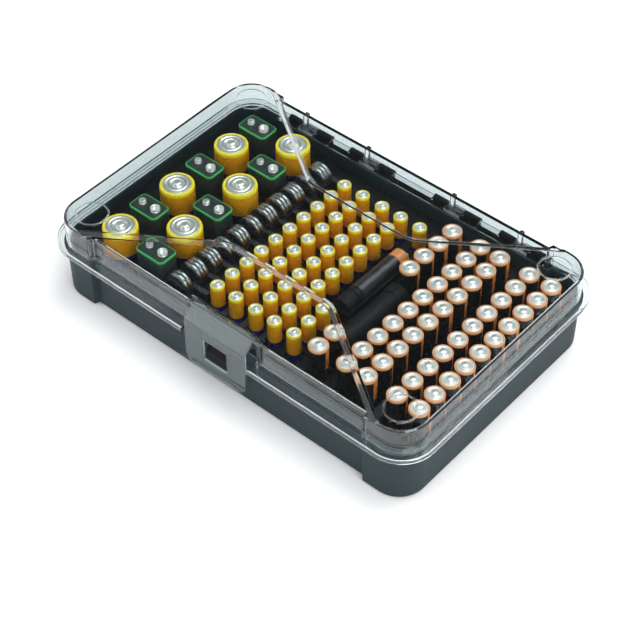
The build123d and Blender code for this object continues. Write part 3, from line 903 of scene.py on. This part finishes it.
@dataclass
class CoinStacks:
    """Coin cells on edge in the rack, two or three to a slot, facing the front."""

    x: float = -61.0
    first_y: float = -80.5
    pitch: float = 15.0
    floor_z: float = 36.2
    diameter: float = 20.0
    thick: float = 3.2
    clearance: float = 0.06                    # on every side of a cell
    sink: float = 0.2                          # how deep a cell sits in its slot
    sides: int = 40
    smooth_deg: float = 32.0
    fill: tuple[int, ...] = (2, 3, 3, 2, 3, 2, 3, 3, 3, 2, 3)

    def coin(self) -> bpy.types.Mesh:
        """One cell lying on its axis along Y: can, gasket groove and smaller cap.

        Returns:
            The mesh of one cell.
        """
        r, t = self.diameter / 2 - self.clearance, self.thick - 2 * self.clearance
        mesh = lathe("coin", [
            (r - 0.5, 0.0), (r - 0.12, 0.12), (r, 0.45), (r, t * 0.72), (r - 0.35, t * 0.84),
            (r - 0.9, t * 0.84), (r - 1.0, t * 0.78), (r - 1.2, t - 0.1), (r - 1.5, t),
            (TIP_MM, t)], self.sides, self.smooth_deg)
        mesh.transform(Matrix.Rotation(math.radians(90), 4, "X"))
        mesh.transform(Matrix.Translation((0, t * MM, 0)))
        return mesh

    def build(self, layer: RowLayer, metal: bpy.types.Material) -> None:
        """Stand the stacks in their slots.

        Args:
            layer: Lays the rows.
            metal: Finish of the cells.
        """
        rows = []
        for k, count in enumerate(self.fill):
            front = (self.first_y + self.pitch * k - count * self.thick / 2
                     + self.clearance)
            rows.append(Row((self.x, front, self.floor_z + self.diameter / 2 - self.sink),
                            count, (0, self.thick, 0)))
        settle(layer.piece("coin_stacks", self.coin(), rows, metal), "case",
               "bright_terminal", "coin_cells")


@dataclass(frozen=True)
class RadiusedMoulding:
    """A packed shell with the small edge radii that its mould leaves, which catch the light."""

    name: str
    node: str
    body: str
    slot: str
    radius_mm: float
    segments: int = 2
    crease_deg: float = 40.0
    weld_mm: float = 0.0005
    flat_deg: float = 1.0

    def clean_copy(self, finish: bpy.types.Material) -> bpy.types.Mesh:
        """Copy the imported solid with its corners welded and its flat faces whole.

        Args:
            finish: Material of the moulding.

        Returns:
            The copy.
        """
        bm = bmesh.new()
        bm.from_mesh(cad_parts[self.node].data)
        bmesh.ops.remove_doubles(bm, verts=bm.verts, dist=self.weld_mm * MM)
        bmesh.ops.dissolve_limit(bm, angle_limit=math.radians(self.flat_deg), verts=bm.verts,
                                 edges=bm.edges)
        for face in bm.faces:
            face.smooth = True
        mesh = to_mesh(bm, self.name + "_raw")
        mesh.materials.clear()
        mesh.materials.append(finish)
        return mesh

    def build(self, finish: bpy.types.Material) -> None:
        """Round the edges of a copy of the solid and let it stand for the solid.

        Args:
            finish: Material of the moulding.
        """
        host = stand(self.name + "_host", self.clean_copy(finish))
        edge = host.modifiers.new("edge radii", "BEVEL")
        edge.width, edge.segments = self.radius_mm * MM, self.segments
        edge.limit_method, edge.angle_limit = "ANGLE", math.radians(self.crease_deg)
        edge.use_clamp_overlap = False
        level = host.modifiers.new("flat faces stay flat", "WEIGHTED_NORMAL")
        level.mode, level.weight, level.keep_sharp = "FACE_AREA", 100, True
        graph = bpy.context.evaluated_depsgraph_get()
        mesh = bpy.data.meshes.new_from_object(host.evaluated_get(graph))
        bpy.data.objects.remove(host)
        settle(stand(self.name, mesh), self.body, self.slot, self.node)


@dataclass
class CaseShell:
    """Tub, tray, lid, latch, hinges and tester, each with its own finish."""

    looks: Finishes
    lid_radius_mm: float = 0.35
    tub_radius_mm: float = 0.5
    latch_radius_mm: float = 0.35

    def round_mouldings(self) -> None:
        """Give the lid, the tub and the latch their edge radii."""
        RadiusedMoulding("lid_moulding", "lid_shell", "lid", "clear_plastic",
                         self.lid_radius_mm).build(self.looks.lid)
        RadiusedMoulding("tub_moulding", "base_tub", "case", "slate_plastic",
                         self.tub_radius_mm).build(self.looks.slate)
        RadiusedMoulding("latch_moulding", "latch_clip", "latch", "clear_plastic",
                         self.latch_radius_mm).build(self.looks.latch)

    def dress_all(self) -> None:
        """Round the big mouldings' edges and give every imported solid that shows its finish."""
        self.round_mouldings()
        plan = {
            self.looks.tray: ("cell_tray",),
            self.looks.black: ("latch_catch", "hinge_brackets", "tester_cradle",
                               "tester_cap", "tester_collar", "tester_housing"),
            self.looks.rib_grey: ("coin_rack",),
            self.looks.wire: ("hinge_pins", "latch_pin"),
            self.looks.nickel: ("tester_contacts", "test_cell_terminal"),
            self.looks.lying_film: ("test_cell_jacket",),
        }
        for material, nodes in plan.items():
            for node in nodes:
                dress(node, material)
                LOG.info("%s dressed as %s", node, material.name)


@dataclass
class CellFilling:
    """All the cells in the case; places in millimetres from its middle."""

    looks: Finishes
    floor_z: float = 13.0
    column_count: int = 10                     # places in a full column
    aa_x: tuple[float, ...] = (147.75, 129.2, 103.7, 86.3, 61.6)
    aa_first_y: float = -73.395
    aa_pitch: float = 16.31
    aa_last_runs: tuple[tuple[int, int], ...] = ((0, 2), (6, 4))    # the tester lies between
    aaa_x: tuple[float, ...] = (-32.8, -15.3, 3.0, 20.3, 37.9)
    aaa_first_y: float = -71.5
    aaa_pitch: float = 15.29
    aaa_last_runs: tuple[tuple[int, int], ...] = ((0, 3), (9, 1))
    big_x: tuple[float, float] = (-123.0, -87.3)
    big_first_y: float = -76.3
    big_pitch: float = 29.4
    big_count: int = 3                         # of each kind, by turns, in a column

    def columns(self, across: tuple[float, ...], first_y: float, pitch: float,
                last_runs: tuple[tuple[int, int], ...]) -> tuple[tuple[Row, ...], ...]:
        """Columns of upright cells, full but for the last one.

        Args:
            across: Place of each column.
            first_y: Place of the front cells.
            pitch: From one cell to the next.
            last_runs: First number and count of each run in the last column.

        Returns:
            The rows of every column.
        """
        runs = [((0, self.column_count),)] * (len(across) - 1) + [last_runs]
        return tuple(tuple(Row((x, first_y + pitch * first, self.floor_z), count,
                               (0, pitch, 0)) for first, count in own)
                     for x, own in zip(across, runs))

    def big_rows(self, shifted: tuple[int, int]) -> tuple[Row, ...]:
        """Every second place of the two wide columns.

        Args:
            shifted: Places by which each column's row starts behind the front.

        Returns:
            One row for each column.
        """
        return tuple(Row((x, self.big_first_y + self.big_pitch * places, self.floor_z),
                         self.big_count, (0, 2 * self.big_pitch, 0))
                     for x, places in zip(self.big_x, shifted))

    def column_nodes(self, prefix: str) -> tuple[tuple[str, str], ...]:
        """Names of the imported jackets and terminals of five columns."""
        return tuple((f"{prefix}_cells_{i}", f"{prefix}_terminals_{i}") for i in range(1, 6))

    def build(self, layer: RowLayer) -> None:
        """Stand every cell in its place.

        Args:
            layer: Lays the rows.
        """
        looks = self.looks
        aa = self.columns(self.aa_x, self.aa_first_y, self.aa_pitch, self.aa_last_runs)
        # the AA turn sets the painted copper side of each jacket toward the light on the right
        RoundCells("aa", self.column_nodes("aa"), aa, diameter=14.5, length=50.5, nub_d=5.5,
                   nub_h=1.2, slot="aa_jacket", turn_deg=212.0).build(
                       layer, looks.aa_film, looks.nickel)
        aaa = self.columns(self.aaa_x, self.aaa_first_y, self.aaa_pitch, self.aaa_last_runs)
        RoundCells("aaa", self.column_nodes("aaa"), aaa, diameter=10.5, length=44.5, nub_d=3.8,
                   nub_h=1.0, slot="yellow_jacket", sides=28).build(
                       layer, looks.yellow_film, looks.nickel)
        RoundCells("c", (("c_cells", "c_terminals"),), (self.big_rows((0, 1)),), diameter=26.2,
                   length=50.0, nub_d=7.0, nub_h=1.6, slot="yellow_jacket", sides=48).build(
                       layer, looks.yellow_film, looks.nickel)
        SnapCells(self.big_rows((1, 0))).build(layer, looks)
        CoinStacks().build(layer, looks.coin)


# ---- studio -------------------------------------------------------------------------------
@dataclass(frozen=True)
class SoftLamp:
    """Square soft lamp that points at the case."""

    name: str
    place: Place
    size: float
    power: float

    def build(self) -> None:
        """Hang the lamp."""
        data = bpy.data.lights.new(self.name, "AREA")
        data.shape, data.size, data.energy = "SQUARE", self.size, self.power
        lamp = stand(self.name, data)
        lamp.location = self.place
        lamp.rotation_euler = Vector(self.place).to_track_quat("Z", "Y").to_euler()


@dataclass(frozen=True)
class Studio:
    """Pale floor, soft lamps and the camera at the photograph's angle; lengths in metres."""

    target: Place = (0.04804, -0.0560, 0.0640)
    azimuth: float = 40.57
    elevation: float = 46.07
    distance: float = 1.22616
    lens: float = 101.66
    clip: Point = (0.05, 20.0)
    lamps: tuple[SoftLamp, ...] = (
        SoftLamp("overhead softbox", (0.1, 0.5, 1.5), 1.2, 16.0),
        SoftLamp("right softbox", (1.4, -0.5, 0.9), 0.9, 12.0),
        SoftLamp("left fill", (-1.2, -1.1, 1.0), 1.0, 5.0))
    # grey tent, by how nearly a direction is the flag's
    sky: tuple[tuple[float, str], ...] = (
        (0.0, "#D8D9DA"), (0.88, "#D8D9DA"), (0.965, "#4A4B4C"), (1.0, "#3A3B3C"))
    floor_half: float = 3.0
    floor_z: float = -0.0002
    floor_fade: Point = (0.35, 0.75)           # the floor turns white between these distances
    floor_bounce: str = "#DDDDDD"

    def back(self) -> Vector:
        """Direction from the target to the camera."""
        a, e = math.radians(self.azimuth), math.radians(self.elevation)
        return Vector((math.sin(a) * math.cos(e), -math.cos(a) * math.cos(e), math.sin(e)))

    def camera(self) -> None:
        """Place the camera."""
        data = bpy.data.cameras.new("camera")
        data.lens, data.sensor_width, data.sensor_fit = self.lens, SENSOR_MM, "HORIZONTAL"
        data.clip_start, data.clip_end = self.clip
        cam = stand("camera", data)
        cam.location = Vector(self.target) + self.back() * self.distance
        cam.rotation_euler = self.back().to_track_quat("Z", "Y").to_euler()
        bpy.context.scene.camera = cam

    def world(self) -> None:
        """White to the eye; a grey tent with a dark flag, so the flat lid throws no glare."""
        world = bpy.data.worlds.new("studio")
        world.use_nodes = True
        tree = world.node_tree
        tree.nodes.clear()
        path = add_node(tree, "ShaderNodeLightPath").outputs
        coords = add_node(tree, "ShaderNodeTexCoord").outputs["Generated"]
        back = self.back()
        toward = add_node(tree, "ShaderNodeVectorMath", {"operation": "DOT_PRODUCT"}, {
            0: coords, 1: (-back.x, -back.y, back.z)}).outputs["Value"]
        sky = ramp(tree, toward, [(near, srgb(code)) for near, code in self.sky])
        glow = add_node(tree, "ShaderNodeBackground", inputs={"Color": sky, "Strength": 1.0})
        white = add_node(tree, "ShaderNodeBackground", inputs={"Color": srgb("#FFFFFF")})
        mix = add_node(tree, "ShaderNodeMixShader", inputs={
            0: path["Is Camera Ray"], 1: glow.outputs[0], 2: white.outputs[0]})
        add_node(tree, "ShaderNodeOutputWorld", inputs={"Surface": mix.outputs[0]})
        bpy.context.scene.world = world

    def floor_paint(self) -> bpy.types.Material:
        """Matt pale paint that keeps the shadow and turns white far from the case.

        Returns:
            The material.
        """
        mat, tree, out = new_material("pale painted floor")
        path = add_node(tree, "ShaderNodeLightPath").outputs
        seen = add_node(tree, "ShaderNodeMath", {"operation": "MAXIMUM"}, {
            0: path["Is Camera Ray"], 1: path["Is Transmission Ray"]}).outputs[0]
        shade = blend(tree, seen, srgb(self.floor_bounce), srgb("#FFFFFF"))
        matt = add_node(tree, "ShaderNodeBsdfDiffuse", inputs={"Color": shade})
        coords = add_node(tree, "ShaderNodeTexCoord").outputs["Object"]
        reach = add_node(tree, "ShaderNodeVectorMath", {"operation": "LENGTH"}, {0: coords})
        far = vary(tree, reach.outputs["Value"], (0.0, 1.0), self.floor_fade)
        beyond = add_node(tree, "ShaderNodeMath", {"operation": "MULTIPLY"}, {0: far, 1: seen})
        sweep = add_node(tree, "ShaderNodeEmission", inputs={"Color": srgb("#FFFFFF")})
        mix = add_node(tree, "ShaderNodeMixShader", inputs={
            0: beyond.outputs[0], 1: matt.outputs["BSDF"], 2: sweep.outputs[0]})
        tree.links.new(mix.outputs["Shader"], out.inputs["Surface"])
        return mat

    def floor(self) -> None:
        """Large plain floor just under the case."""
        paint = self.floor_paint()
        bm = bmesh.new()
        for x, y in ((-1, -1), (1, -1), (1, 1), (-1, 1)):
            bm.verts.new((x * self.floor_half, y * self.floor_half, self.floor_z))
        bm.faces.new(bm.verts)
        mesh = to_mesh(bm, "floor")
        mesh.materials.append(paint)
        floor = stand("floor", mesh)

    def build(self) -> None:
        """Set up camera, world, lamps and floor."""
        bpy.context.scene.view_settings.view_transform = "Standard"
        self.camera()
        self.world()
        self.floor()
        for lamp in self.lamps:
            lamp.build()


def main() -> None:
    """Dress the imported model, lay the cells and set up the studio."""
    logging.basicConfig(level=logging.INFO, format="%(name)s: %(message)s")
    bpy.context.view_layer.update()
    Studio().build()
    looks = Finishes()
    CaseShell(looks).dress_all()
    CellFilling(looks).build(RowLayer(cell_row_tree()))


if __name__ == "__main__":
    main()
